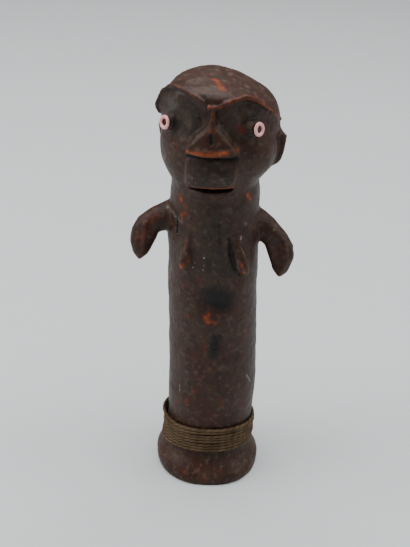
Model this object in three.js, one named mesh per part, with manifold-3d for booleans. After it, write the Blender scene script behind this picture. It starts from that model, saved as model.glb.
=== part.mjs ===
// A female statuette of hand-modelled fired clay: a straight round trunk on a flared foot, stub arms that end in
// leaf-shaped hands, and a broad head with one thin double-arched crest of clay for a brow. Its eyes are two
// glass ring beads pressed onto clay stalks, and a plant-fibre cord is wound round it just above the foot.
// Millimetres, +Z up. The figure looks along -Y, and angles round it are counted from there towards +X, so a
// positive angle is on the viewer's right. It is drawn about the middle of the trunk, then moved so that the
// origin lies on the ground under the middle of its whole extent.
import * as THREE from "three";
import { mergeVertices } from "three/addons/utils/BufferGeometryUtils.js";
import Module from "manifold-3d";

const wasm = await Module();
wasm.setup();

// Heights above the ground
const FOOT_EDGE = 3.6;
const FOOT_TOP = 11;
const CHEST = 112;
const SHOULDER = 131;
const NECK = 144;
const CHIN = 149;
const MOUTH = 151.2;
const LIP = 153.8;
const NOSE_BASE = 168;
const EYES = 178;
const BRIDGE = 187.5;
const CROWN = 195.8;

// Radii and half widths
const FOOT_RADIUS = 24.8;
const TRUNK_RADIUS = 20.3;
const NECK_RADIUS = 19.2;
const CHEEK_RADIUS = 25.2;

// The face is turned a little to its own right.
const FACE_TURN = THREE.MathUtils.degToRad(-10.5);

// How far the middle of the trunk stands from the middle of the whole extent.
const TRUNK_AT = { x: 1.5, y: 2.26 };

const SIDES = 44;
const CLEARANCE = 0.3;

const { degToRad, smoothstep, lerp } = THREE.MathUtils;

// A bump that is 1 at the middle and fades to 0 at the given half width.
const bump = (x, middle, halfWidth) => 1 - smoothstep(Math.abs(x - middle), 0, halfWidth);

// A closed three.js geometry as a solid. Triangles that lathe poles squash to nothing are dropped.
function solid(geometry) {
  const bare = geometry.clone();
  for (const name of Object.keys(bare.attributes)) {
    if (name !== "position") bare.deleteAttribute(name);
  }
  const merged = mergeVertices(bare, 1e-4);
  const kept = [];
  for (let i = 0; i < merged.index.count; i += 3) {
    const [a, b, c] = [0, 1, 2].map((k) => merged.index.getX(i + k));
    if (a !== b && b !== c && c !== a) kept.push(a, b, c);
  }
  const made = new wasm.Manifold(
    new wasm.Mesh({
      numProp: 3,
      vertProperties: merged.attributes.position.array,
      triVerts: new Uint32Array(kept),
    }),
  );
  if (made.volume() < 0) throw new Error("a solid is inside out");
  return made;
}

// A solid as a geometry that a mesh can show.
function geometryOf(made) {
  const mesh = made.getMesh();
  const geometry = new THREE.BufferGeometry();
  geometry.setAttribute("position", new THREE.BufferAttribute(mesh.vertProperties, 3));
  geometry.setIndex(new THREE.BufferAttribute(mesh.triVerts, 1));
  geometry.computeVertexNormals();
  return geometry;
}

// Moves each vertex of a geometry by a function of its place.
function shape(geometry, place) {
  const position = geometry.attributes.position;
  const point = new THREE.Vector3();
  for (let i = 0; i < position.count; i++) {
    point.fromBufferAttribute(position, i);
    place(point);
    position.setXYZ(i, point.x, point.y, point.z);
  }
  return geometry;
}

// The plan of the figure at a series of heights, without its features: height, middle across, half width,
// depth in front of the middle, depth behind it, and how square its front is (2 is an ellipse, as its back is).
const PLAN = [
  [0, 0.7, FOOT_RADIUS - 0.6, FOOT_RADIUS + 2, FOOT_RADIUS - 2.2, 2.25],
  [FOOT_EDGE, 0.7, FOOT_RADIUS, FOOT_RADIUS + 2.2, FOOT_RADIUS - 1.4, 2.2],
  [7.5, 0, FOOT_RADIUS - 1.9, FOOT_RADIUS, FOOT_RADIUS - 2.6, 2.1],
  [FOOT_TOP, 0.1, TRUNK_RADIUS + 0.2, TRUNK_RADIUS + 1.9, TRUNK_RADIUS - 0.4, 2],
  [17, 0.5, TRUNK_RADIUS - 0.3, TRUNK_RADIUS, TRUNK_RADIUS - 0.8, 2],
  [48, 1.4, TRUNK_RADIUS + 0.2, TRUNK_RADIUS - 0.2, TRUNK_RADIUS - 0.8, 2],
  [72, 0.3, TRUNK_RADIUS - 0.1, TRUNK_RADIUS - 0.2, TRUNK_RADIUS - 0.9, 2.05],
  [CHEST, -0.8, TRUNK_RADIUS - 0.1, TRUNK_RADIUS, TRUNK_RADIUS - 1, 2.1],
  [SHOULDER, -1.2, TRUNK_RADIUS - 0.8, TRUNK_RADIUS - 0.4, TRUNK_RADIUS - 1, 2.1],
  [NECK, -1.1, NECK_RADIUS, NECK_RADIUS + 0.6, NECK_RADIUS, 2],
  [CHIN, -1.7, NECK_RADIUS - 0.1, NECK_RADIUS + 2.4, NECK_RADIUS + 0.6, 2],
  [153.6, -1.2, CHEEK_RADIUS - 3.6, CHEEK_RADIUS - 1.8, CHEEK_RADIUS - 3.6, 2.1],
  [158, -0.5, CHEEK_RADIUS - 1.1, CHEEK_RADIUS - 0.6, CHEEK_RADIUS - 1.6, 2.15],
  [163, 0, CHEEK_RADIUS, CHEEK_RADIUS - 0.6, CHEEK_RADIUS - 0.8, 2.2],
  [170, 0, CHEEK_RADIUS, CHEEK_RADIUS - 0.7, CHEEK_RADIUS - 0.8, 2.3],
  [EYES, -0.4, CHEEK_RADIUS - 0.2, CHEEK_RADIUS - 0.6, CHEEK_RADIUS - 1.2, 2.4],
  [184, -1.2, CHEEK_RADIUS - 2.7, CHEEK_RADIUS - 0.6, CHEEK_RADIUS - 3, 3],
  [188, -2.5, CHEEK_RADIUS - 6, CHEEK_RADIUS - 0.8, CHEEK_RADIUS - 5.8, 3.8],
  [191, -3.7, CHEEK_RADIUS - 9.9, CHEEK_RADIUS - 1.8, CHEEK_RADIUS - 9, 3.8],
  [193.6, -4.7, CHEEK_RADIUS - 15.2, CHEEK_RADIUS - 6.4, CHEEK_RADIUS - 14, 3],
  [195.2, -5, CHEEK_RADIUS - 20.4, CHEEK_RADIUS - 15, CHEEK_RADIUS - 19.5, 2.2],
];

// The plan at any height, by a smooth curve through the listed ones.
function planAt(z) {
  const last = PLAN.length - 1;
  let i = 0;
  while (i < last - 1 && z > PLAN[i + 1][0]) i += 1;
  const slope = (k, column) => {
    const before = PLAN[Math.max(k - 1, 0)];
    const after = PLAN[Math.min(k + 1, last)];
    return (after[column] - before[column]) / (after[0] - before[0]);
  };
  const span = PLAN[i + 1][0] - PLAN[i][0];
  const t = Math.min(Math.max((z - PLAN[i][0]) / span, 0), 1);
  const column = (k) =>
    (2 * t ** 3 - 3 * t ** 2 + 1) * PLAN[i][k] +
    (t ** 3 - 2 * t ** 2 + t) * span * slope(i, k) +
    (3 * t ** 2 - 2 * t ** 3) * PLAN[i + 1][k] +
    (t ** 3 - t ** 2) * span * slope(i + 1, k);
  return { middle: column(1), half: column(2), front: column(3), back: column(4), square: column(5) };
}

// How far the plan is turned at a height: the trunk isn't, and the head is.
const turnAt = (z) => FACE_TURN * smoothstep(z, NECK, LIP);

// Distance from the middle to the surface at a height and an angle from the way that plan faces.
function radiusAt(z, angle) {
  const plan = planAt(z);
  const inFront = Math.cos(angle) > 0;
  const square = inFront ? plan.square : 2;
  const across = Math.abs(Math.sin(angle)) / plan.half;
  const along = Math.abs(Math.cos(angle)) / (inFront ? plan.front : plan.back);
  return (across ** square + along ** square) ** (-1 / square);
}

// The point of the surface at a height and a face angle, pushed out by some millimetres.
function surface(z, angle, out = 0) {
  const turned = angle + turnAt(z);
  const radius = radiusAt(z, angle) + out;
  return new THREE.Vector3(
    planAt(z).middle + radius * Math.sin(turned),
    -radius * Math.cos(turned),
    z,
  );
}

// The muzzle swells below the nose to a sharp lip, over a mouth that is undercut and a chin that fades out.
const MUZZLE_MIDDLE = degToRad(5);
const MUZZLE_ANGLE = degToRad(21.5);
const MUZZLE_SWELL = 2.6;

function muzzle(z, angle) {
  const aside = Math.abs(angle - MUZZLE_MIDDLE);
  const across = 1 - smoothstep(aside, MUZZLE_ANGLE * 0.85, MUZZLE_ANGLE * 1.3);
  const above = smoothstep(z, MOUTH + 0.8, LIP) * (1 - smoothstep(z, LIP + 1, NOSE_BASE + 1));
  const chin = 0.35 * smoothstep(z, NECK + 1, CHIN + 1) * (1 - smoothstep(z, CHIN + 2, MOUTH));
  return MUZZLE_SWELL * across * (above + chin);
}

// The brow is one thin crest of clay, highest over each eye, that dips to a point between them. Its edge runs
// through these points, from beside the right eye over to the left one.
const BROW_EDGE = [
  [-26, -2.6, 174.6],
  [-28, -3.4, 179.4],
  [-26.6, -7, 185.2],
  [-23.4, -10.8, 191.6],
  [-17.6, -17.2, 193.6],
  [-11, -22.4, 191.8],
  [-4.4, -24.6, 188],
  [2.3, -24.8, 189.6],
  [9, -23.2, 192],
  [12.9, -21.2, 190.9],
  [16.4, -18.2, 187.2],
  [21.9, -11.5, 181.3],
  [25.6, -5.5, 176],
].map((p) => new THREE.Vector3(...p));
const browCurve = new THREE.CatmullRomCurve3(BROW_EDGE, false, "centripetal");

// The height of the brow's edge over a place on the face, blended from the parts of the edge near its bearing.
const BROW_SAMPLES = browCurve.getSpacedPoints(80);
const BROW_BLEND = 0.07;
const bearingOf = (p) => Math.atan2(p.x, -p.y);

function browHeight(z, angle) {
  const bearing = bearingOf(surface(z, angle));
  let height = 0;
  let total = 0;
  for (const p of BROW_SAMPLES) {
    const weight = Math.exp(-(((bearingOf(p) - bearing) / BROW_BLEND) ** 2)) + 1e-9;
    height += weight * p.z;
    total += weight;
  }
  return height / total;
}

// Under the brow the face is set back, deepest round the eyes.
const SOCKET_DEPTH = 2.2;

function socket(z, angle) {
  const across = 1 - smoothstep(Math.abs(angle), 1.15, 1.6);
  const top = browHeight(z, angle);
  const under = smoothstep(z, 166, 176) * (1 - smoothstep(z, top - 4.2, top - 0.8));
  const eye = bump(Math.abs(angle), degToRad(40), 0.5) * bump(z, EYES + 3, 11);
  return across * under * (SOCKET_DEPTH + 0.8 * eye);
}

// Low swellings and hollows of the trunk: the belly, the hollow above it, and the shoulders' rise to the arms.
function trunkRelief(z, angle) {
  const belly = 0.9 * bump(z, 84, 16) * bump(angle, 0, 0.9);
  const hollow = 1.1 * bump(z, 99, 9) * bump(angle, 0, 0.55);
  const shoulder = 1 * bump(z, SHOULDER - 3, 12) * bump(Math.abs(angle), Math.PI / 2, 0.6);
  return belly - hollow + shoulder;
}

// Ring heights: close together where the profile turns quickly, and towards the top of the crown.
function ringHeights() {
  const spans = [
    [0, FOOT_TOP, 5],
    [FOOT_TOP, 20, 4],
    [20, NECK, 13],
    [NECK, MOUTH - 1, 3],
    [MOUTH - 1, LIP + 1, 5],
    [LIP + 1, NOSE_BASE, 5],
    [NOSE_BASE, EYES, 3],
    [EYES, BRIDGE, 5],
  ];
  const heights = spans.flatMap(([low, high, count]) =>
    Array.from({ length: count }, (_, i) => lerp(low, high, i / count)),
  );
  const top = PLAN.at(-1)[0];
  const crownRings = 5;
  for (let i = 0; i <= crownRings; i++) {
    heights.push(lerp(BRIDGE, top, Math.sin((i / crownRings) * Math.PI * 0.5)));
  }
  return heights;
}

// The trunk and head as one turned form, with its sides closer together in front, where the carving is.
function trunkAndHead() {
  const heights = ringHeights();
  const profile = [
    new THREE.Vector2(0, heights[0]),
    ...heights.map((z) => new THREE.Vector2(1, z)),
    new THREE.Vector2(0, CROWN),
  ];
  const lathe = new THREE.LatheGeometry(profile, SIDES).rotateX(Math.PI / 2);
  const relief = (z, angle) => (z < NECK ? trunkRelief(z, angle) : muzzle(z, angle) - socket(z, angle));
  return solid(
    shape(lathe, (p) => {
      const even = Math.atan2(p.x, -p.y);
      const angle = even - 0.3 * Math.sin(even);
      const onAxis = Math.hypot(p.x, p.y) < 0.5;
      if (onAxis) p.set(planAt(p.z).middle, 0, p.z);
      else p.copy(surface(p.z, angle, relief(p.z, angle)));
    }),
  );
}

// Blends between listed sizes along a form, from 0 to 1.
const sizes = (...list) => (t) => {
  const at = t * (list.length - 1);
  const i = Math.min(Math.floor(at), list.length - 2);
  return lerp(list[i], list[i + 1], smoothstep(at - i, 0, 1));
};

// A rounded form that follows a curve. width and depth give its half sizes from 0 to 1 along it, and the
// depth lies along the direction that facing gives for a point of the curve.
function alongCurve(curve, width, depth, facing, steps, sides) {
  const ball = new THREE.SphereGeometry(1, sides, steps);
  return shape(ball, (p) => {
    const t = THREE.MathUtils.clamp((1 - p.y) / 2, 0, 1);
    const around = Math.hypot(p.x, p.z);
    const close = Math.min(1, 2 * around);
    const middle = curve.getPoint(t);
    const tangent = curve.getTangent(t);
    const side = facing(middle).projectOnPlane(tangent).normalize();
    const other = new THREE.Vector3().crossVectors(side, tangent);
    const [u, v] = around < 1e-6 ? [0, 0] : [p.x / around, p.z / around];
    p.copy(middle)
      .addScaledVector(side, v * close * depth(t))
      .addScaledVector(other, u * close * width(t));
  });
}

// The brow's crest: its edge follows the curve, and its root is buried in the head.
const CREST_DEPTH = 6.4;
const CREST_THICKNESS = 2.4;
const HEAD_CORE = new THREE.Vector3(-1, 0, 179);

function browCrest() {
  const inwards = (p) => HEAD_CORE.clone().sub(p).normalize();
  const middles = browCurve.getSpacedPoints(24).map((p) => p.addScaledVector(inwards(p), CREST_DEPTH / 2));
  const line = new THREE.CatmullRomCurve3(middles);
  const thickness = () => CREST_THICKNESS / 2;
  return solid(alongCurve(line, thickness, () => CREST_DEPTH / 2, inwards, 34, 8));
}

// Beside the right eye the crest stands on a wedge of clay that runs down into the socket. It follows the first
// part of the brow's edge, and its corners are the edge, a root in the head and a foot on the face.
const WEDGE_END = 0.4;
const WEDGE_FOOT = new THREE.Vector3(-16.5, -15, 180);

function browWedge() {
  const steps = 12;
  const prism = new THREE.CylinderGeometry(1, 1, 1, 3, steps);
  return solid(
    shape(prism, (p) => {
      const edge = browCurve.getPointAt(lerp(0.01, WEDGE_END, p.y + 0.5));
      const inwards = HEAD_CORE.clone().sub(edge).normalize();
      const root = edge.clone().addScaledVector(inwards, CREST_DEPTH);
      const foot = edge.clone().lerp(WEDGE_FOOT, 0.62);
      const angle = bearingOf(foot) - turnAt(foot.z);
      foot.copy(surface(foot.z, angle, -socket(foot.z, angle) - 0.6));
      edge.addScaledVector(inwards, CREST_THICKNESS / 2);
      if (Math.hypot(p.x, p.z) < 0.5) p.copy(edge).add(root).add(foot).divideScalar(3);
      else if (p.z > 0.5) p.copy(edge);
      else p.copy(p.x > 0 ? foot : root);
    }),
  );
}

// The arms: each leaves the shoulder outwards, droops, and ends in a flattened leaf-shaped hand.
const ARMS = {
  right: [[-12, 0, 131], [-20.2, -1, 129.4], [-28.8, -3, 126.2], [-32, -4.6, 120], [-32.8, -5.6, 114.4], [-33.6, -6, 109]],
  left: [[11, 0, 130], [17.4, -1, 127.4], [25, -3, 122.4], [28.9, -4.6, 115], [29.2, -5.6, 108.6], [28.8, -6, 102.8]],
};
const ARM_WIDTHS = sizes(8, 6.9, 5.8, 6.1, 4.4, 1.4);
const ARM_DEPTHS = sizes(6.4, 6, 5, 4.2, 3.4, 2);

const pathThrough = (points) => new THREE.CatmullRomCurve3(points.map((p) => new THREE.Vector3(...p)));
const forwards = () => new THREE.Vector3(0, -1, 0);

function arm(points) {
  return solid(alongCurve(pathThrough(points), ARM_WIDTHS, ARM_DEPTHS, forwards, 13, 12));
}

// The breasts: slim, pointed and hanging, wider apart at their tips.
const BREASTS = {
  right: [[-10.2, -15, 127], [-12, -16.9, 119], [-13.6, -17.8, 110.6]],
  left: [[6.4, -16, 129.5], [10, -18.2, 120], [13.4, -18.8, 109.6]],
};
const BREAST_WIDTHS = sizes(1.5, 2.4, 3.2, 2.4);
const BREAST_DEPTHS = sizes(1.2, 2, 3.6, 2.4);

function breast(points) {
  return solid(alongCurve(pathThrough(points), BREAST_WIDTHS, BREAST_DEPTHS, forwards, 9, 8));
}

// The nose: a thin crest at the bridge that spreads to a broad flat base, with its worn lower edge cut square.
const NOSE_HALF_WIDTH = 10.5;
const NOSE_OUT = 3.6;

function nose() {
  const columns = 10;
  const rows = 8;
  const block = new THREE.BoxGeometry(2, 1, 1, columns, 1, rows).translate(0, 0, 0.5);
  const middle = surface(NOSE_BASE, 0).setZ(0);
  const facing = new THREE.Matrix4().makeRotationZ(FACE_TURN);
  const wedge = shape(block, (p) => {
    const up = p.z;
    const across = p.x;
    const half = lerp(NOSE_HALF_WIDTH, 1.1, smoothstep(up, 0, 0.75));
    const out = lerp(NOSE_OUT, 1.6, up ** 0.8) * (1 - 0.35 * across ** 2);
    const z = lerp(NOSE_BASE, BRIDGE + 1, up);
    const slope = radiusAt(z, 0) - radiusAt(NOSE_BASE, 0);
    p.set(across * half, p.y > 0 ? 8 : -(out + slope), z);
  });
  wedge.applyMatrix4(facing).translate(middle.x + 0.8, middle.y, 0);
  return solid(wedge);
}

// The mouth is a slit pressed in under the lip.
function mouth() {
  const lens = new THREE.SphereGeometry(1, 20, 8).rotateX(Math.PI / 2).scale(10.2, 5.4, 1.1);
  const front = surface(MOUTH, MUZZLE_MIDDLE);
  lens.rotateZ(turnAt(MOUTH) + MUZZLE_MIDDLE).translate(front.x, front.y, MOUTH - 0.2);
  return solid(lens);
}

// The ears are thin fins low on the sides of the head, pointed at the top and running down into the jaw.
const EAR_ANGLE = degToRad(94);
const EAR_THICKNESS = 3.2;
const EAR_REACH = { right: 27.4, left: 28.2 };

function ear(side) {
  const tip = EAR_REACH[side];
  const outline = new THREE.Shape();
  outline.moveTo(17, 154);
  outline.quadraticCurveTo(tip - 4.4, 154.6, tip - 2.2, 158.4);
  outline.quadraticCurveTo(tip - 0.9, 162, tip, 169.2);
  outline.quadraticCurveTo(tip - 2.6, 170.6, tip - 4.2, 175.6);
  outline.lineTo(17, 175.6);
  const bevel = 0.7;
  const fin = new THREE.ExtrudeGeometry(outline, {
    depth: EAR_THICKNESS - 2 * bevel,
    bevelThickness: bevel,
    bevelSize: 0.5,
    bevelOffset: -0.5,
    bevelSegments: 1,
    curveSegments: 4,
  });
  fin.translate(0, 0, bevel - EAR_THICKNESS / 2).rotateX(Math.PI / 2);
  fin.rotateZ(FACE_TURN + (side === "left" ? 1 : -1) * EAR_ANGLE - Math.PI / 2);
  return solid(fin);
}

// The eyes: glass ring beads, each held against a short clay stalk by a clay peg through its hole.
const BEAD_RADIUS = 2.95;
const BEAD_HOLE = 1.7;
const BEAD_LENGTH = 1.3;
const STALK_LENGTH = 8;
const EYE_OUT = 28;
const EYES_AT = {
  right: { bearing: degToRad(-57), height: 177.1, facing: degToRad(-48) },
  left: { bearing: degToRad(33.6), height: 178.7, facing: degToRad(49) },
};
const EYE_UPWARDS = degToRad(10);

// Turns a form made along +Z to point out of an eye, with the middle of the bead's face at its origin.
function toEye(geometry, side) {
  const { bearing, height, facing } = EYES_AT[side];
  return geometry
    .rotateX(Math.PI / 2 - EYE_UPWARDS)
    .rotateZ(facing)
    .translate(EYE_OUT * Math.sin(bearing), -EYE_OUT * Math.cos(bearing), height);
}

// A bead is a ring with rounded edges, wider than it is long.
function bead(side) {
  const steps = 8;
  const middle = (BEAD_HOLE + BEAD_RADIUS) / 2;
  const wall = (BEAD_RADIUS - BEAD_HOLE) / 2;
  const section = Array.from({ length: steps + 1 }, (_, i) => {
    const a = ((i % steps) / steps) * 2 * Math.PI;
    const square = (x) => Math.sign(x) * Math.abs(x) ** 0.6;
    return new THREE.Vector2(
      middle + wall * square(Math.cos(a)),
      (BEAD_LENGTH / 2) * (square(Math.sin(a)) - 1),
    );
  });
  const lathe = new THREE.LatheGeometry(section, 18).rotateX(Math.PI / 2);
  return solid(toEye(lathe, side));
}

function eyeStalk(side) {
  const end = BEAD_LENGTH + CLEARANCE;
  const stalk = new THREE.CylinderGeometry(BEAD_RADIUS + 0.3, BEAD_RADIUS + 1.9, STALK_LENGTH, 16);
  stalk.rotateX(Math.PI / 2).translate(0, 0, -end - STALK_LENGTH / 2);
  const pegRadius = BEAD_HOLE - CLEARANCE;
  const peg = new THREE.CylinderGeometry(pegRadius, pegRadius, end + 0.6, 12);
  peg.rotateX(Math.PI / 2).translate(0, 0, -(end + 0.6) / 2 - 0.6);
  return solid(toEye(stalk, side)).add(solid(toEye(peg, side)));
}

// The clay figure is one piece.
function figure() {
  let made = trunkAndHead().add(browCrest()).add(browWedge()).add(nose());
  for (const side of ["right", "left"]) {
    made = made
      .add(arm(ARMS[side]))
      .add(breast(BREASTS[side]))
      .add(ear(side))
      .add(eyeStalk(side));
  }
  return made.subtract(mouth());
}

// The binding: one cord wound round in turns that touch, its turns fused to a band that stands just off the clay.
// The band rides up over the front of the foot, and is taller on the right, where its turns lie looser.
const TURNS = 8;
const CORD_DIAMETER = 1.8;
const BINDING_LOW = 9.8;
const BINDING_RISE = 5.4;
const BINDING_LOOSE = 2.6;
const BINDING_SIDES = 32;

const bindingLow = (angle) => BINDING_LOW + BINDING_RISE * (0.5 + 0.5 * Math.cos(angle - degToRad(6))) ** 2;
const bindingHeight = (angle) => CORD_DIAMETER * TURNS + BINDING_LOOSE * bump(angle, degToRad(-100), 1);

function binding() {
  const arcSteps = 3;
  const section = [];
  for (let turn = 0; turn < TURNS; turn++) {
    for (let i = 0; i <= arcSteps; i++) {
      if (turn > 0 && i === 0) continue;
      const a = Math.PI * (i / arcSteps - 0.5);
      const up = (turn + 0.5 + 0.5 * Math.sin(a)) / TURNS;
      section.push(new THREE.Vector2(1 + CORD_DIAMETER * (0.5 + 0.6 * Math.cos(a)), up));
    }
  }
  const innerSteps = 7;
  for (let i = 0; i <= innerSteps; i++) section.push(new THREE.Vector2(1, 1 - i / innerSteps));
  section.push(section[0].clone());
  const lathe = new THREE.LatheGeometry(section, BINDING_SIDES).rotateX(Math.PI / 2);
  return solid(
    shape(lathe, (p) => {
      const angle = Math.atan2(p.x, -p.y);
      const off = Math.hypot(p.x, p.y) - 1;
      const z = bindingLow(angle) + p.z * bindingHeight(angle);
      const radius = radiusAt(z, angle) + 2 * CLEARANCE + off;
      p.set(planAt(z).middle + radius * Math.sin(angle), -radius * Math.cos(angle), z);
    }),
  );
}

const clay = new THREE.MeshStandardMaterial({ color: 0x4a372e, roughness: 0.62, metalness: 0 });
const pinkGlass = new THREE.MeshStandardMaterial({ color: 0xe3a9a8, roughness: 0.3, metalness: 0 });
const fibre = new THREE.MeshStandardMaterial({ color: 0x4b3c2e, roughness: 0.9, metalness: 0 });

function piece(name, made, material) {
  const mesh = new THREE.Mesh(geometryOf(made).translate(TRUNK_AT.x, TRUNK_AT.y, 0), material);
  mesh.name = name;
  return mesh;
}

const statuette = new THREE.Group();
statuette.name = "female_statuette";
statuette.add(
  piece("clay_figure", figure(), clay),
  piece("eye_bead_right", bead("right"), pinkGlass),
  piece("eye_bead_left", bead("left"), pinkGlass),
  piece("fibre_binding", binding(), fibre),
);

export default statuette;
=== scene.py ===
import math

import bmesh
import bpy
import numpy as np
from mathutils import Euler, Matrix, Vector, noise
from mathutils.bvhtree import BVHTree


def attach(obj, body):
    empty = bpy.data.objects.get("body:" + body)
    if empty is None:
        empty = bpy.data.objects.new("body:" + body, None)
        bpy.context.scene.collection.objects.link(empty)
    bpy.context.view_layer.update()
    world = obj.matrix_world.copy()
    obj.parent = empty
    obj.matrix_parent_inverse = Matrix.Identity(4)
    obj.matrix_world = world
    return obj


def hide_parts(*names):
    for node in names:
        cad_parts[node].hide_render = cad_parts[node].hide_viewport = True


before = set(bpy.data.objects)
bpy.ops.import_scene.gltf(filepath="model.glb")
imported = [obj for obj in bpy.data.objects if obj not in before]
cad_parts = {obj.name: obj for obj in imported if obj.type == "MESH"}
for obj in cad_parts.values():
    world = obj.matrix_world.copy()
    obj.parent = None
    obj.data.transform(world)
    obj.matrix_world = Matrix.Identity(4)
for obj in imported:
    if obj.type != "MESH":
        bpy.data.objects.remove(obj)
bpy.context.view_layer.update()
MM = 0.001

# Camera
# A long lens from in front of the statuette and well above it, looking down at the middle of its trunk.
# The statuette leans a little to the right in the picture, so the camera is rolled the other way.
CAMERA_TARGET = Vector((-2.6, 2.26, 100)) * MM
CAMERA_DISTANCE = 475 * MM
CAMERA_DOWN = math.radians(28.5)
CAMERA_ROLL = math.radians(2.4)
PICTURE_HEIGHT = 547
FOCAL_LENGTH = 1050
SENSOR = 36

camera_data = bpy.data.cameras.new("studio_camera")
camera_data.sensor_width = SENSOR
camera_data.lens = SENSOR * FOCAL_LENGTH / PICTURE_HEIGHT
camera = bpy.data.objects.new("studio_camera", camera_data)
bpy.context.scene.collection.objects.link(camera)
backwards = Vector((0, -math.cos(CAMERA_DOWN), math.sin(CAMERA_DOWN)))
aim = Euler((math.pi / 2 - CAMERA_DOWN, 0, 0)).to_matrix() @ Matrix.Rotation(CAMERA_ROLL, 3, "Z")
camera.matrix_world = Matrix.Translation(CAMERA_TARGET + CAMERA_DISTANCE * backwards) @ aim.to_4x4()
bpy.context.scene.camera = camera

# Clay figure
# One piece of hand-modelled clay: trunk, foot, arms, breasts and head in one, smoothed with wet fingers, with the
# brow, nose and lips pinched up and the mouth and small marks cut in. Fired at a low heat, then rubbed dark.
# Places are millimetres, in the order across, back and up. The figure's own right is towards -X.
CLAY_GRAIN = 0.5 * MM
CLAY_FACES = 190000


def merged_copy(node, name):
    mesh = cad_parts[node].data.copy()
    mesh.name = name
    shape = bmesh.new()
    shape.from_mesh(mesh)
    bmesh.ops.remove_doubles(shape, verts=shape.verts, dist=1e-6)
    shape.to_mesh(mesh)
    shape.free()
    piece = bpy.data.objects.new(name, mesh)
    bpy.context.scene.collection.objects.link(piece)
    return piece


def settle(piece):
    """Applies a piece's modifiers to its mesh."""
    shown = piece.evaluated_get(bpy.context.evaluated_depsgraph_get())
    mesh = bpy.data.meshes.new_from_object(shown)
    piece.modifiers.clear()
    piece.data = mesh
    return piece


figure = merged_copy("clay_figure", "statuette_clay")
remesh = figure.modifiers.new("clay", "REMESH")
remesh.mode = "VOXEL"
remesh.voxel_size = CLAY_GRAIN
settle(figure)


def ramp(value, low, high):
    share = np.clip((value - low) / (high - low), 0, 1)
    return share * share * (3 - 2 * share)


class Surface:
    """A mesh's points in millimetres, with what is needed to work them by hand."""

    def __init__(self, mesh):
        self.mesh = mesh
        count = len(mesh.vertices)
        flat = np.empty(count * 3)
        mesh.vertices.foreach_get("co", flat)
        self.at = flat.reshape(-1, 3) / MM
        ends = np.empty(len(mesh.edges) * 2, dtype=np.int32)
        mesh.edges.foreach_get("vertices", ends)
        self.ends = ends.reshape(-1, 2)
        self.links = np.bincount(self.ends.ravel(), minlength=count)

    def spread(self, values):
        """Each point's mean over its neighbours."""
        a, b = self.ends.T
        count = len(values)
        columns = values.reshape(count, -1).T
        sums = [np.bincount(a, c[b], count) + np.bincount(b, c[a], count) for c in columns]
        return (np.array(sums) / self.links).T.reshape(values.shape)

    def smooth(self, weight, times):
        for _ in range(times):
            self.at += 0.5 * weight[:, None] * (self.spread(self.at) - self.at)

    def store(self):
        self.mesh.vertices.foreach_set("co", (self.at * MM).ravel())
        self.mesh.update()

    def normals(self):
        self.store()
        flat = np.empty(len(self.at) * 3, dtype=np.float32)
        self.mesh.vertex_normals.foreach_get("vector", flat)
        return flat.reshape(-1, 3).astype(float)

    def tree(self):
        """What finds the nearest place on the surface, and where a line meets it."""
        self.store()
        faces = [tuple(face.vertices) for face in self.mesh.polygons]
        return BVHTree.FromPolygons(self.at.tolist(), faces)

    def near(self, path, width):
        """1 along the path, fading to 0 at the width from it."""
        path = np.array(path, dtype=float)
        share = np.zeros(len(self.at))
        inside = np.all((self.at > path.min(0) - width) & (self.at < path.max(0) + width), axis=1)
        points = self.at[inside]
        best = np.linalg.norm(points - path[0], axis=1)
        for start, end in zip(path[:-1], path[1:]):
            run = end - start
            along = np.clip((points - start) @ run / (run @ run), 0, 1)
            best = np.minimum(best, np.linalg.norm(points - start - along[:, None] * run, axis=1))
        share[inside] = ramp(width - best, 0, width)
        return share

    def unevenness(self, size, seed):
        """Smooth noise from about -0.5 to 0.5, with swellings of a size in millimetres."""
        shift = Vector((seed, 0, 0))
        return np.array([noise.noise(Vector(point) / size + shift) for point in self.at])

    def keep(self, name, values):
        """Stores one number per point under a name, for the material."""
        layer = self.mesh.attributes.new(name, "FLOAT", "POINT")
        layer.data.foreach_set("value", values.astype(np.float32))


clay = Surface(figure.data)
clay.smooth(np.ones(len(clay.at)), 4)

# Lines that the hand work follows. A place with two numbers is across and up, on the front of the figure.
BROW_RIGHT = [(-25, 0, 175.6), (-26.4, -1.2, 179.4), (-25.6, -4, 184), (-23.6, -6.6, 188.5), (-17.9, -12.9, 192.8),
              (-13.5, -16.9, 192.3), (-9.4, -19.8, 191), (-5.4, -21.6, 188.7), (-3.2, -22, 187.4)]
BROW_LEFT = [(-3.2, -22, 187.4), (0, -22.3, 187.6), (3.8, -22.5, 189.7), (7.2, -21.8, 191), (10.6, -20.4, 191.9),
             (12.9, -19.7, 191.3), (15.5, -17.9, 189.3), (18, -15.8, 187), (20.6, -12.2, 184.4), (23.3, -9.1, 181.4),
             (26.3, 0.3, 175.8)]
BEHIND_BROW = [(-9, -13, 194.5), (-16, -9, 194), (-21, -4, 191.5), (-25, 0, 187)]
NOSE_COLUMN = [(-1.7, 187), (-1.6, 183), (-1.9, 180), (-2.2, 178)]
NOSE_WING_RIGHT = [(-2.4, 179.5), (-4.5, 177.1), (-7.6, 173.8), (-11.3, 170.3)]
NOSE_WING_LEFT = [(-1.4, 179.5), (0.7, 175.6), (4, 172.8), (8.2, 170.2)]
NOSE_PIT = [(-2.6, 176.4), (-2.2, 173.4)]
NOSE_BAR = [(-11.4, 168.1), (-6.6, 168.6), (-1.8, 169.1), (3.3, 169.8), (8, 169.8)]
UNDER_NOSE = [(-11.2, 165.4), (-1.8, 166), (7.8, 166.4)]
MUZZLE_RIGHT = [(-11.3, 164), (-11.7, 155.5)]
MUZZLE_LEFT = [(7.6, 165), (7.5, 156)]
LIP = [(-11.1, 152.6), (-6.1, 153.2), (-1.7, 153.3), (2.8, 153.3), (7.4, 152.9)]
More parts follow.
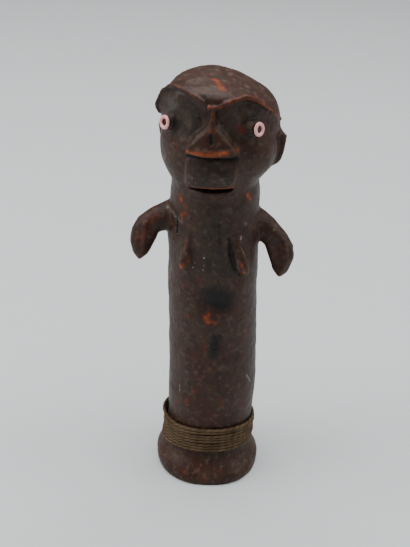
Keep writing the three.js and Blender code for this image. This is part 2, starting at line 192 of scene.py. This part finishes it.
MOUTH = [(-10.3, 151), (-6, 150.4), (-1.7, 150.2), (3, 150.4), (6.4, 151)]
LOWER_LIP = [(-9, 148.2), (-1.7, 147.8), (5.6, 148.4)]
UNDER_LIP = [(-9.5, 146.2), (-2.2, 147), (4.5, 147.3), (7.6, 148.8)]
CHEST_GROOVE = [(2.6, 134.1), (2.7, 130.9), (3.1, 125.6)]
ARMPIT_CRACK = [(-15.9, -9.2, 133.8), (-15.6, -9.7, 130), (-15.3, -10.4, 126.2)]
BREAST_LEFT_CREASE = [(7.2, 127), (8.1, 119.6), (10.4, 113), (12.6, 109.4)]
BREAST_LEFT_RIDGE = [(10.4, 127), (12.9, 121.4), (14.2, 113)]
BREAST_RIGHT_RIDGE = [(-10.2, 126), (-12.8, 119), (-13.2, 112.4)]
HAND_RIGHT_EDGE = [(-29.4, -5.3, 127.4), (-29.9, -6, 122), (-29.8, -6.4, 116.5), (-31.6, -6.6, 111)]
HAND_LEFT_PALM = [(28.4, -6, 120), (28.3, -6, 111)]
HAND_LEFT_RIM = [(30.4, -5.4, 122), (32, -5.7, 118.7), (32.4, -6.4, 110.6), (30.2, -6.6, 105)]
EAR_LEFT_RIDGE = [(26.4, -3.4, 171), (28.6, -2.6, 166.8), (28, -2.6, 162), (25.8, -2.6, 158.4)]
EAR_LEFT_HOLLOW = [(25.2, -5, 170), (25.6, -4.6, 166), (25, -4.6, 162), (23.4, -5.4, 159)]
RING_AT = (3.1, 74.4)
RING_RADIUS = 1.8
RING = [
    (RING_AT[0] + RING_RADIUS * math.cos(a), RING_AT[1] + RING_RADIUS * math.sin(a))
    for a in np.linspace(0, 2 * math.pi, 13)
]
SCRATCH_LEFT = [(18.8, -10.2, 54.4), (19.9, -8.8, 51.7), (21, -7, 48.7)]
SCRATCH_RIGHT = [(-12.5, -11, 47.7), (-12.2, -11.3, 45.1)]
CHEEK_SCRATCH = [(-18.3, -13.5, 169.1), (-15.7, -16, 168.9), (-16.5, -15.7, 166.8)]

clay_front = clay.tree()


def place(point):
    """A listed place, moved onto the clay."""
    if len(point) == 2:
        return clay_front.ray_cast(Vector((point[0], -100, point[1])), Vector((0, 1, 0)))[0]
    return clay_front.find_nearest(Vector(point))[0]


def line(points):
    return [tuple(place(point)) for point in points]


# Where one lump of clay was worked into the next it was stroked smooth. Each entry gives the line, how far
# to its sides the clay was smoothed, and how often.
SMOOTHED = [
    ([(-17, 0, 131)], 15, 16),
    ([(17.5, 0, 129)], 15, 16),
    (BROW_RIGHT, 4, 8),
    ([(-25, -5, 179), (-23, -8, 184)], 5, 18),
    (NOSE_COLUMN, 5, 16),
    (NOSE_WING_RIGHT, 7, 60),
    (NOSE_WING_LEFT, 7, 60),
    (MUZZLE_RIGHT, 4, 12),
    (MUZZLE_LEFT, 4, 12),
    (EAR_LEFT_HOLLOW, 5, 14),
    (BREAST_LEFT_CREASE, 4, 14),
    ([(10, 129), (12, 124)], 5, 30),
    (BREAST_RIGHT_RIDGE, 6, 50),
]
for points, width, times in SMOOTHED:
    clay.smooth(clay.near(line(points), width), times)

# What was pinched up or pressed in: the line, how far it reaches to its sides, and its height.
WORKED = [
    (BROW_RIGHT, 2.8, -0.4),
    (BROW_RIGHT, 1.2, 0.9),
    (BROW_LEFT, 3.2, -0.5),
    (BROW_LEFT, 1.5, 1.1),
    (BEHIND_BROW, 3.4, -0.9),
    (NOSE_COLUMN, 2.4, 0.7),
    (NOSE_WING_RIGHT, 1.5, 0.25),
    (NOSE_WING_LEFT, 1.5, 0.25),
    (NOSE_PIT, 1.8, -0.8),
    (NOSE_BAR, 2.2, 0.7),
    (UNDER_NOSE, 1.8, -0.5),
    (MUZZLE_RIGHT, 1.6, 0.3),
    (MUZZLE_LEFT, 1.6, 0.3),
    (LIP, 1.7, 0.7),
    (MOUTH, 1.3, -1.2),
    (LOWER_LIP, 1.8, 0.5),
    (UNDER_LIP, 1.2, -0.4),
    (CHEST_GROOVE, 1.3, -0.5),
    (ARMPIT_CRACK, 1.3, -1.3),
    (BREAST_LEFT_CREASE, 1.5, -0.6),
    (BREAST_LEFT_RIDGE, 1.6, 0.5),
    (BREAST_RIGHT_RIDGE, 2, 0.3),
    (HAND_RIGHT_EDGE, 1.8, 0.6),
    (HAND_LEFT_PALM, 4.2, -1),
    (HAND_LEFT_RIM, 1.8, 0.5),
    (EAR_LEFT_RIDGE, 1.4, 0.4),
    (EAR_LEFT_HOLLOW, 2.4, -0.8),
    ([(21.5, -11.5, 183)], 1.2, -0.9),
    ([(-7.2, 181.5)], 1.4, -0.4),
    ([(1.7, 99)], 9, -0.4),
    (RING, 0.9, -0.3),
    ([RING_AT], 0.8, -0.3),
    ([(4.4, 76.9)], 0.9, -0.3),
    ([(6.2, 72.2)], 0.9, -0.3),
    ([(1.5, 71.4)], 0.9, -0.3),
    ([(6.7, 73.7)], 0.9, -0.3),
    ([(1.7, 79.9), (3.5, 79.2)], 0.8, -0.25),
    ([(5, 80.2), (6.2, 78.6)], 0.8, -0.25),
    (SCRATCH_LEFT, 0.9, -0.3),
    (SCRATCH_RIGHT, 0.8, -0.25),
    (CHEEK_SCRATCH, 0.9, -0.3),
]
height = np.zeros(len(clay.at))
for points, width, depth in WORKED:
    height += depth * clay.near(line(points), width)

# No hand-modelled face is even: slow swellings, smaller dents and the drag of fingers.
SWELLINGS = [(17, 0.55), (6, 0.22), (2.4, 0.09)]
for number, (size, rise) in enumerate(SWELLINGS):
    height += rise * clay.unevenness(size, 10 * number)
FOOT_EDGE = 1.5
height *= ramp(clay.at[:, 2], 0, FOOT_EDGE)
clay.at += height[:, None] * clay.normals()
clay.store()

# Its coat is soot and grease rubbed into the clay. It has worn through to orange clay on what stands out, stays
# darkest in the hollows, is greyer on the face and chest, and holds pale dust in places. Painted on it as well:
# shade in the slits, cracks and creases, under the nose and in the belly and ring recesses, a glint in the chest
# groove, highlights above the lip and along the left breast, sheen on the face, chest and left armpit, and the
# soft boxes' reflections down both sides of the trunk. Each entry gives a line, how far to its sides the mark
# reaches, and its strength.
WORN_AND_GLINT = [
    (BROW_RIGHT, 1.5, 0.3),
    (BROW_LEFT, 1.9, 0.62),
    ([(-2, -9.5, 195), (0.2, -13.7, 193.9), (1.4, -16.5, 193)], 4.6, 0.75),
    ([(-9.3, -1.9, 195), (-3, -6, 195.2)], 3, 0.45),
    (NOSE_COLUMN, 2.6, 0.4),
    ([(-2.6, 178.6), (-5, 175.6)], 2, 0.45),
    ([(-1.4, 178.6), (-0.2, 174)], 1.8, 0.45),
    (NOSE_BAR, 2.6, 1),
    (LIP, 1.9, 0.85),
    (UNDER_LIP, 1.1, 0.6),
    ([(7.5, 164), (7.3, 160)], 1.6, 0.5),
    ([(13.9, -11.7, 145.9), (14.9, -10.8, 143.6)], 3, 0.95),
    ([(-15, -9.6, 143.2), (-13.1, -12, 141.1), (-11.7, -13.4, 137.6), (-13.8, -11.5, 135.3)], 3.6, 0.65),
    ([(-11.5, 131.3), (-11.5, 121.5)], 2.4, 0.4),
    # A painted glint in the chest groove.
    ([(2.8, 131.6), (2.8, 129.4)], 0.9, 1.2),
    ([(2.6, 133.7), (3, 124.4)], 1.7, 0.5),
    ([(-13, 113.6)], 3.6, 0.85),
    ([(-9.3, 118.4), (-12.4, 114)], 2.4, 0.55),
    (BREAST_LEFT_RIDGE, 1.6, 0.15),
    ([(13, 117), (14.4, 112.6), (12.6, 110.4)], 1.5, 0.9),
    ([(-1.4, 89.4), (-0.4, 87.2)], 3.4, 0.95),
    ([(2.4, 86.4)], 3, 0.75),
    ([(-10.7, 88.2), (-8.9, 88)], 3, 0.6),
    ([(-15.7, -7.9, 73), (-15.4, -7.2, 55.6)], 1.8, 0.4),
    ([(-1.9, 66.8)], 3, 0.5),
    ([(-5.4, 48.2)], 3, 0.65),
    ([(-1.3, 50.4)], 2.4, 0.5),
    ([(7.5, 46.1), (7.7, 41.8)], 2, 0.65),
    ([(-8.6, 5.3)], 2.6, 0.75),
    ([(1.5, 2.8)], 2.4, 0.7),
    ([(8.4, 7)], 2.2, 0.7),
    ([(5, 9)], 1.6, 0.6),
    ([(19.6, -16.5, 3.8)], 2, 0.6),
    ([(-18.2, -12, 5.5), (-19.4, -8.1, 7.1)], 2, 0.6),
    (CHEEK_SCRATCH, 1.1, 0.7),
    ([(-24, -4, 133), (-30, -6, 124)], 3, 0.35),
    ([(27.4, -5.8, 114.1)], 2, 0.8),
    (HAND_LEFT_RIM, 1.5, 0.25),
    (EAR_LEFT_RIDGE, 1.3, 0.2),
]
RUBBED_RED = [
    ([(-21, -12, 177)], 5.5, 0.8),
    ([(16.5, -20.5, 178.7)], 2.4, 0.8),
    ([(9.5, -20, 178)], 5, 0.75),
    ([(-5.2, 107.2)], 3.8, 0.75),
    ([(-12.9, 101.5), (-9.3, 103.1)], 2.2, 0.6),
    ([(10.7, 104.2)], 1.5, 0.75),
    ([(-1.8, 77.3), (-0.9, 71.9)], 2.3, 0.6),
    ([(10.9, 71.3), (8.6, 68.4)], 2.4, 0.5),
    ([(-8.6, 41.2)], 3, 0.9),
    ([(-12.7, 37.8)], 2.4, 0.8),
    ([(-2.9, 174.6)], 1.6, 0.6),
    ([(-26, -4, 130), (-31, -6, 120), (-32, -6, 113)], 8, 0.45),
    ([(28, -4, 119), (30, -6, 108)], 8, 0.4),
    ([(0, 32), (0, 60)], 12, 0.3),
    ([(0, 6)], 14, 0.35),
]
# Soot, and painted shade: in the belly hollow and the recess round the ring mark, under the nose and over the top of
# the muzzle, in the mouth slit, the nose pit and the armpit crack, at the top of the chest groove, beside and under
# the left breast, where the left arm meets the trunk, and in the ear's hollow.
SOOT_AND_SHADE = [
    ([(1.8, 99.2), (5.5, 97)], 11, 1.15),
    ([(3.6, 78), (3, 69)], 5.5, 0.95),
    (UNDER_NOSE, 2.6, 0.6),
    ([(-7, 161), (3, 162)], 5, 0.35),
    (MOUTH, 1.7, 1.3),
    (NOSE_PIT, 1.5, 0.8),
    (ARMPIT_CRACK, 2.4, 1.2),
    ([(2.6, 139), (2.4, 134)], 2.4, 0.5),
    (BREAST_LEFT_CREASE, 1.8, 0.9),
    ([(12.6, -15.8, 131), (16, -9.6, 124)], 4, 0.5),
    ([(1.9, 39)], 6, 0.35),
    (EAR_LEFT_HOLLOW, 2.2, 0.8),
    ([(12.9, 114.6)], 1.4, 0.8),
]
# Pale dust, and painted light: a highlight line above the lip, a highlight along the left breast, and sheen at the
# left armpit.
DUST_AND_SHEEN = [
    (ARMPIT_CRACK, 5, 0.35),
    ([(-20.2, -2.4, 134.5), (-13.3, -12.3, 132.3)], 2.4, 0.5),
    ([(-14.9, -10.8, 127.3)], 2.4, 0.5),
    ([(13.9, -12.3, 132.7)], 3, 0.5),
    ([(12.2, 127), (13.4, 121.5)], 1.5, 0.7),
    ([(-3.3, 118.3)], 0.9, 1),
    ([(-7.9, 112.9)], 1, 0.8),
    ([(-7.1, 115.2)], 1, 0.8),
    ([(-3.6, 112.5)], 1.1, 0.9),
    ([(-3.4, 114.5)], 0.9, 0.8),
    ([(14.9, -10.8, 143)], 1, 0.8),
    ([(-9.5, 157.2), (4.3, 158)], 1.6, 0.4),
    (SCRATCH_LEFT, 1, 0.8),
    (SCRATCH_RIGHT, 0.9, 0.7),
    (RING, 0.8, 0.45),
    (HAND_RIGHT_EDGE, 2, 0.3),
    ([(26.5, -4.4, 126.5)], 1.6, 0.5),
]
# A greyer coat on the face and chest with painted sheen on it, and painted reflections of the soft boxes as pale
# streaks down both sides of the trunk.
GREYED_AND_SHEEN = [
    ([(-15, -17, 181)], 15, 0.9),
    ([(13, -18, 179)], 13, 0.9),
    ([(-2, 160)], 12, 1),
    ([(0, 130), (4, 112)], 11, 0.8),
    ([(-17, -3, 90), (-17, -3, 30)], 7, 0.5),
    ([(20, -3, 100), (20, -3, 30)], 9, 0.8),
]


def marked(marks):
    total = np.zeros(len(clay.at))
    for points, width, strength in marks:
        total = np.maximum(total, strength * clay.near(line(points), width))
    return total


before = clay.at.copy()
normals = clay.normals()
clay.smooth(np.ones(len(clay.at)), 14)
standing_out = ((before - clay.at) * normals).sum(axis=1)
clay.at = before
clay.store()
edges = ramp(standing_out, 0.05, 0.3)
hollows = ramp(-standing_out, 0.03, 0.22)
# Wear on what stands out, with a painted glint in the chest groove.
clay.keep("worn_and_glint", marked(WORN_AND_GLINT) + 0.25 * edges)
clay.keep("reddened", marked(RUBBED_RED))
# Soot in the hollows, with the painted shade listed above.
clay.keep("soot_and_shade", marked(SOOT_AND_SHADE) + 0.7 * hollows)
# Pale dust, with painted highlights and sheen.
clay.keep("dust_and_sheen", marked(DUST_AND_SHEEN))
# Greyer coat with painted sheen, and the soft boxes' painted reflections.
clay.keep("greyed_and_sheen", marked(GREYED_AND_SHEEN))

# The plain parts of the trunk and back need fewer faces than the face and hands do.
detail = [([(0, -18, 172)], 34), ([(-26, -4, 124)], 22), ([(28, -4, 116)], 22), ([(3, 75)], 12), ([(0, 120)], 18)]
plain = 1 - 0.9 * marked([(points, width, 1) for points, width in detail])
group = figure.vertex_groups.new(name="plain")
for share in np.unique(np.round(plain, 1)):
    chosen = np.nonzero(np.round(plain, 1) == share)[0]
    group.add(chosen.tolist(), float(share), "REPLACE")
faces = sum(len(face.vertices) - 2 for face in figure.data.polygons)
thin = figure.modifiers.new("thin", "DECIMATE")
thin.ratio = CLAY_FACES / faces
thin.vertex_group = "plain"
settle(figure)
figure.data.shade_smooth()
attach(figure, "root")
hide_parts("clay_figure")


def colour(code):
    """An sRGB hex colour as linear light."""
    parts = [int(code[i : i + 2], 16) / 255 for i in (1, 3, 5)]
    return [c / 12.92 if c <= 0.04045 else ((c + 0.055) / 1.055) ** 2.4 for c in parts] + [1]


def add_node(material, kind, settings=None, **links):
    """Adds a node with its settings, and links or sets its inputs."""
    tree = material.node_tree
    made = tree.nodes.new(kind)
    for name, value in (settings or {}).items():
        setattr(made, name, value)
    for name, value in links.items():
        key = int(name[1:]) if name[0] == "_" else name.replace("_", " ")
        socket = made.inputs[key]
        if isinstance(value, bpy.types.NodeSocket):
            tree.links.new(value, socket)
        else:
            socket.default_value = value
    return made


def new_material(name):
    material = bpy.data.materials.new(name)
    material.use_nodes = True
    material.node_tree.nodes.clear()
    return material


def mottle(material, where, size, detail=4, stretch=(1, 1, 1)):
    """Noise whose blotches repeat about every so many millimetres."""
    placed = add_node(material, "ShaderNodeMapping", Vector=where, Scale=stretch)
    return add_node(material, "ShaderNodeTexNoise", Vector=placed.outputs[0], Scale=1 / (size * MM), Detail=detail).outputs[0]


def step(material, value, low, high):
    smooth = {"interpolation_type": "SMOOTHSTEP"}
    return add_node(material, "ShaderNodeMapRange", smooth, Value=value, From_Min=low, From_Max=high).outputs[0]


def sum_of(material, first, second, share=1):
    """The first value plus a share of the second."""
    made = add_node(material, "ShaderNodeMath", {"operation": "MULTIPLY_ADD"}, _0=second, _1=share, _2=first)
    return made.outputs[0]


def product(material, first, second):
    return add_node(material, "ShaderNodeMath", {"operation": "MULTIPLY"}, _0=first, _1=second).outputs[0]


def blend(material, share, first, second):
    mixed = {"data_type": "RGBA"}
    return add_node(material, "ShaderNodeMix", mixed, _0=share, _6=first, _7=second).outputs[2]


def attribute(material, name):
    return add_node(material, "ShaderNodeAttribute", {"attribute_name": name}).outputs["Fac"]


# Low-fired clay with soot and grease rubbed in: dull brown with a faint sheen, blotched from 1 to 20 mm.
fired_clay = new_material("rubbed fired clay")
on_clay = add_node(fired_clay, "ShaderNodeTexCoord").outputs["Object"]
broad = mottle(fired_clay, on_clay, 24, 3)
blotches = mottle(fired_clay, on_clay, 7, 4)
spots = mottle(fired_clay, on_clay, 2.6, 4)
grain = mottle(fired_clay, on_clay, 0.9, 3)
upright = mottle(fired_clay, on_clay, 3.2, 4, (1.2, 1.2, 0.75))

# A greyer coat with painted sheen on the face and chest, and the soft boxes' painted reflections down the trunk's
# sides.
grey_and_sheen_share = sum_of(fired_clay, attribute(fired_clay, "greyed_and_sheen"), broad, 1.2)
coat = blend(fired_clay, step(fired_clay, grey_and_sheen_share, 0.4, 1.3), colour("#371c12"), colour("#30261f"))
olive_share = product(fired_clay, step(fired_clay, blotches, 0.46, 0.66), 0.75)
coat = blend(fired_clay, olive_share, coat, colour("#3a2b1c"))
dark_share = product(fired_clay, step(fired_clay, upright, 0.48, 0.66), 0.6)
coat = blend(fired_clay, dark_share, coat, colour("#1c1410"))
paler = product(fired_clay, step(fired_clay, spots, 0.5, 0.7), 0.6)
coat = blend(fired_clay, paler, coat, colour("#54443a"))

flecks = product(fired_clay, step(fired_clay, upright, 0.42, 0.3), step(fired_clay, blotches, 0.5, 0.42))
# Wear, and the painted glint in the chest groove, show the orange clay here.
worn_and_glint_share = sum_of(fired_clay, attribute(fired_clay, "worn_and_glint"), flecks, 0.5)
worn_and_glint_share = sum_of(fired_clay, worn_and_glint_share, spots, 0.9)
worn_and_glint_share = sum_of(fired_clay, worn_and_glint_share, grain, 0.5)
bare_clay = blend(fired_clay, step(fired_clay, worn_and_glint_share, 1.2, 1.9), colour("#54220f"), colour("#8a4420"))
worn_and_glint_mask = step(fired_clay, worn_and_glint_share, 0.9, 1.6)
surface_colour = blend(fired_clay, worn_and_glint_mask, coat, bare_clay)

red_share = sum_of(fired_clay, attribute(fired_clay, "reddened"), spots, 1.1)
red_mask = step(fired_clay, red_share, 0.75, 1.6)
surface_colour = blend(fired_clay, red_mask, surface_colour, colour("#5e2015"))

# Soot, and painted shade in slits, cracks, creases and recesses, darken the coat here.
soot_and_shade_share = sum_of(fired_clay, attribute(fired_clay, "soot_and_shade"), grain, 0.5)
soot_and_shade_mask = step(fired_clay, soot_and_shade_share, 0.4, 1.3)
surface_colour = blend(fired_clay, soot_and_shade_mask, surface_colour, colour("#0f0b0a"))

# Pale dust, and painted highlights and sheen, lighten the coat here.
dust_and_sheen_share = sum_of(fired_clay, attribute(fired_clay, "dust_and_sheen"), grain, 0.9)
dust_and_sheen_mask = step(fired_clay, dust_and_sheen_share, 0.7, 1.5)
surface_colour = blend(fired_clay, dust_and_sheen_mask, surface_colour, colour("#9a958d"))

relief = sum_of(fired_clay, product(fired_clay, blotches, 0.9), spots, 0.6)
relief = sum_of(fired_clay, relief, grain, 0.25)
RELIEF_DEPTH = 0.35 * MM
bumps = add_node(fired_clay, "ShaderNodeBump", Strength=1, Distance=RELIEF_DEPTH, Height=relief)
polish = add_node(fired_clay, "ShaderNodeMapRange", Value=spots, From_Min=0.3, From_Max=0.7, To_Min=0.42, To_Max=0.62)
shader = add_node(
    fired_clay,
    "ShaderNodeBsdfPrincipled",
    Base_Color=surface_colour,
    Roughness=polish.outputs[0],
    Specular_IOR_Level=0.25,
    Normal=bumps.outputs[0],
)
add_node(fired_clay, "ShaderNodeOutputMaterial", Surface=shader.outputs[0])
figure.data.materials.clear()
figure.data.materials.append(fired_clay)

# Bead eyes
# Two small drawn-glass ring beads, cut from a pink cane, their cut edges melted round. Each sits on a clay stalk
# with a peg of clay through its hole, and dark clay is smeared up behind it.
BEAD_RADIUS = 2.95
BEAD_HOLE = 1.45
BEAD_LENGTH = 1.3
BEAD_CLEAN_LENGTH = 0.75
BEADS = {
    "eye_bead_right": {"bearing": -57, "height": 177.1, "facing": -48},
    "eye_bead_left": {"bearing": 33.6, "height": 178.7, "facing": 49},
}
EYE_OUT = 28
EYE_UPWARDS = math.radians(10)
FIGURE_AT = Vector((1.5, 2.26, 0))

pink_glass = new_material("drawn pink glass")
on_bead = add_node(pink_glass, "ShaderNodeTexCoord").outputs["Object"]
cloud = mottle(pink_glass, on_bead, 2.2, 3)
pink = blend(pink_glass, step(pink_glass, cloud, 0.35, 0.65), colour("#e39a98"), colour("#efb4b0"))
smear = sum_of(pink_glass, attribute(pink_glass, "behind"), mottle(pink_glass, on_bead, 0.8, 3), 0.5)
pink = blend(pink_glass, step(pink_glass, smear, 0.6, 0.9), pink, colour("#4a211a"))
bead_shader = add_node(
    pink_glass,
    "ShaderNodeBsdfPrincipled",
    Base_Color=pink,
    Roughness=0.25,
    IOR=1.5,
    Subsurface_Weight=0.2,
    Subsurface_Radius=(0.001, 0.0005, 0.0005),
    Subsurface_Scale=0.5,
)
add_node(pink_glass, "ShaderNodeOutputMaterial", Surface=bead_shader.outputs[0])

for node, at in BEADS.items():
    bead_shape = bmesh.new()
    bmesh.ops.create_circle(bead_shape, segments=16, radius=1)
    wall = (BEAD_RADIUS - BEAD_HOLE) / 2
    for vert in bead_shape.verts:
        square = [math.copysign(abs(c) ** 0.75, c) for c in vert.co.xy]
        vert.co = (BEAD_HOLE + wall * (1 + square[0]), 0, BEAD_LENGTH / 2 * (square[1] - 1))
    turn = dict(axis=(0, 0, 1), cent=(0, 0, 0), dvec=(0, 0, 0), angle=2 * math.pi)
    bmesh.ops.spin(bead_shape, geom=bead_shape.verts[:] + bead_shape.edges[:], steps=48, use_merge=True, **turn)
    bmesh.ops.remove_doubles(bead_shape, verts=bead_shape.verts, dist=1e-4)
    bmesh.ops.recalc_face_normals(bead_shape, faces=bead_shape.faces)
    behind = bead_shape.verts.layers.float.new("behind")
    for vert in bead_shape.verts:
        vert[behind] = float(ramp(-vert.co.z, BEAD_CLEAN_LENGTH - 0.15, BEAD_CLEAN_LENGTH + 0.15))
    bearing = math.radians(at["bearing"])
    out = Vector((EYE_OUT * math.sin(bearing), -EYE_OUT * math.cos(bearing), at["height"]))
    turned = Matrix.Rotation(math.radians(at["facing"]), 4, "Z") @ Matrix.Rotation(math.pi / 2 - EYE_UPWARDS, 4, "X")
    bmesh.ops.transform(bead_shape, matrix=Matrix.Translation(out + FIGURE_AT) @ turned, verts=bead_shape.verts)
    bmesh.ops.scale(bead_shape, vec=(MM, MM, MM), verts=bead_shape.verts)
    bead_mesh = bpy.data.meshes.new("glass_" + node)
    bead_shape.to_mesh(bead_mesh)
    bead_shape.free()
    bead_mesh.shade_smooth()
    bead_mesh.materials.append(pink_glass)
    bead = bpy.data.objects.new("glass_" + node, bead_mesh)
    bpy.context.scene.collection.objects.link(bead)
    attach(bead, "root")
    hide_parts(node)

# Fibre binding
# A two-ply twine of plant fibre, wound about eight times round the trunk above the foot, its turns pushed
# together and matted. It rides up over the front of the foot, and lies looser on the figure's right.
TURNS = 8
TWINE_DIAMETER = 1.7
BINDING_LOW = 9.8
BINDING_RISE = 5.4
BINDING_HEIGHT = 14.4
BINDING_LOOSE = 2.6
BINDING_GAP = 0.3
STEPS_PER_TURN = 300
TWINE_SIDES = 10
SPOOL_RADIUS = 100
SPOOL_HALF = 0.45
PLY_LENGTH = 3.4
TURN_LENGTH = 136


def fade(value, middle, width):
    """1 at the middle, fading to 0 at the width from it."""
    return ramp(width - np.abs(value - middle), 0, width)


twine_shape = bmesh.new()
bmesh.ops.create_circle(twine_shape, segments=TWINE_SIDES, radius=SPOOL_HALF, cap_ends=True)
at_back = Matrix.Translation((0, SPOOL_RADIUS, 0)) @ Matrix.Rotation(math.pi / 2, 4, "Y")
bmesh.ops.transform(twine_shape, matrix=at_back, verts=twine_shape.verts)
winding = {"axis": (0, 0, 1), "cent": (0, 0, 0), "dvec": (0, 0, 1 / STEPS_PER_TURN), "angle": TURNS * 2 * math.pi}
bmesh.ops.spin(twine_shape, geom=twine_shape.faces[:], steps=TURNS * STEPS_PER_TURN, use_merge=False, **winding)
bmesh.ops.recalc_face_normals(twine_shape, faces=twine_shape.faces)
bmesh.ops.scale(twine_shape, vec=(MM, MM, MM), verts=twine_shape.verts)
twine_mesh = bpy.data.meshes.new("wound_twine")
twine_shape.to_mesh(twine_mesh)
twine_shape.free()

twine = Surface(twine_mesh)
across, back, up = twine.at.T
whole_turn = 2 * math.pi
from_back = np.arctan2(-across, back)
wound = from_back / whole_turn + np.round(up - from_back / whole_turn)
angle = from_back - math.pi
lobe = np.arctan2(up - wound, np.hypot(across, back) - SPOOL_RADIUS)


def wander(pace, seed):
    """Noise along the twine that changes the given number of times in a turn."""
    return np.array([noise.noise(Vector((w * pace, seed, 0))) for w in wound])


plies = np.abs(np.cos(lobe - math.pi * wound * TURN_LENGTH / PLY_LENGTH))
half = TWINE_DIAMETER / 2 * (0.82 + 0.2 * plies) * (1 + 0.3 * wander(14, 3))
loose = np.cos(angle - math.radians(-100))
low = BINDING_LOW + BINDING_RISE * (0.5 + 0.5 * np.cos(angle - math.radians(6))) ** 2
tall = BINDING_HEIGHT + BINDING_LOOSE * ramp(loose, 0.5, 1) - TWINE_DIAMETER
level = low + TWINE_DIAMETER / 2 + tall * wound / TURNS + 0.4 * wander(5, 7)
outwards = np.array([np.sin(angle), -np.cos(angle), np.zeros(len(angle))]).T
reach = []
for direction, z in zip(outwards, level):
    start = FIGURE_AT + Vector((0, 0, z)) + 60 * Vector(direction)
    reach.append((clay_front.ray_cast(start, -Vector(direction))[0].xy - FIGURE_AT.xy).length)
lift = 0.5 * wander(6, 11) + 0.9 * ramp(loose, 0.6, 1) * ramp(wound, 5, 8)
radius = np.array(reach) + BINDING_GAP + TWINE_DIAMETER / 2 + lift
twine.at = np.array(FIGURE_AT) + (radius + half * np.cos(lobe))[:, None] * outwards
twine.at[:, 2] = level + half * np.sin(lobe)
twine.keep("ply", plies)
twine.keep("facing", np.cos(lobe))
twine.store()
twine_mesh.shade_smooth()
binding = bpy.data.objects.new("wound_twine", twine_mesh)
bpy.context.scene.collection.objects.link(binding)

# Hand-twisted plant fibre, darkened with the same grease: matt, with paler broken fibres on the turns' outside, and
# painted shade in the grooves between the plies and on the turns' side towards the trunk.
plant_fibre = new_material("twisted plant fibre")
on_twine = add_node(plant_fibre, "ShaderNodeTexCoord").outputs["Object"]
hairs = mottle(plant_fibre, on_twine, 0.8, 4, (0.35, 0.35, 1.6))
patches = mottle(plant_fibre, on_twine, 6, 3)
# Painted shade: darker in the grooves between the plies and on the side towards the trunk, paler on the outside.
outer = sum_of(plant_fibre, product(plant_fibre, attribute(plant_fibre, "ply"), 0.5), attribute(plant_fibre, "facing"), 0.5)
fibre_and_shade_share = sum_of(plant_fibre, product(plant_fibre, outer, 0.6), hairs, 0.7)
fibre_colour = blend(plant_fibre, step(plant_fibre, fibre_and_shade_share, 0.25, 0.95), colour("#1f160f"), colour("#5f4c37"))
fibre_colour = blend(
    plant_fibre, product(plant_fibre, step(plant_fibre, patches, 0.45, 0.65), 0.5), fibre_colour, colour("#3a2818")
)
fibre_bump = add_node(plant_fibre, "ShaderNodeBump", Strength=1, Distance=0.3 * MM, Height=hairs)
fibre_shader = add_node(
    plant_fibre,
    "ShaderNodeBsdfPrincipled",
    Base_Color=fibre_colour,
    Roughness=0.85,
    Specular_IOR_Level=0.2,
    Normal=fibre_bump.outputs[0],
)
add_node(plant_fibre, "ShaderNodeOutputMaterial", Surface=fibre_shader.outputs[0])
twine_mesh.materials.append(plant_fibre)
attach(binding, "root")
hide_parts("fibre_binding")


# Floor
# A plain pale studio table that runs on behind the statuette without an edge.
FLOOR_SIZE = 12
floor_mesh = bpy.data.meshes.new("studio_floor")
floor_shape = bmesh.new()
bmesh.ops.create_grid(floor_shape, x_segments=2, y_segments=2, size=FLOOR_SIZE / 2)
floor_shape.to_mesh(floor_mesh)
floor_shape.free()
floor = bpy.data.objects.new("studio_floor", floor_mesh)
bpy.context.scene.collection.objects.link(floor)
pale_paper = new_material("pale studio paper")
paper_shader = add_node(pale_paper, "ShaderNodeBsdfPrincipled", Base_Color=colour("#c4c7c8"), Roughness=0.9)
add_node(pale_paper, "ShaderNodeOutputMaterial", Surface=paper_shader.outputs[0])
floor_mesh.materials.append(pale_paper)

# Lights
# Soft boxes on both sides, the larger at the left, one overhead, and pale walls all round.
WALLS = "#b4b8ba"
WALL_LIGHT = 0.5
world = bpy.data.worlds.new("studio")
world.use_nodes = True
world.node_tree.nodes["Background"].inputs["Color"].default_value = colour(WALLS)
world.node_tree.nodes["Background"].inputs["Strength"].default_value = WALL_LIGHT
bpy.context.scene.world = world

SOFT_BOXES = {
    "left_soft_box": ((-900, -100, 700), 700, 7),
    "right_soft_box": ((900, 0, 700), 500, 3.5),
    "overhead_soft_box": ((0, 150, 1300), 1300, 27),
}
for name, (spot, size, watts) in SOFT_BOXES.items():
    light = bpy.data.lights.new(name, "AREA")
    light.size = size * MM
    light.energy = watts
    lamp = bpy.data.objects.new(name, light)
    lamp.location = Vector(spot) * MM
    lamp.rotation_euler = (CAMERA_TARGET - lamp.location).to_track_quat("-Z", "Y").to_euler()
    bpy.context.scene.collection.objects.link(lamp)
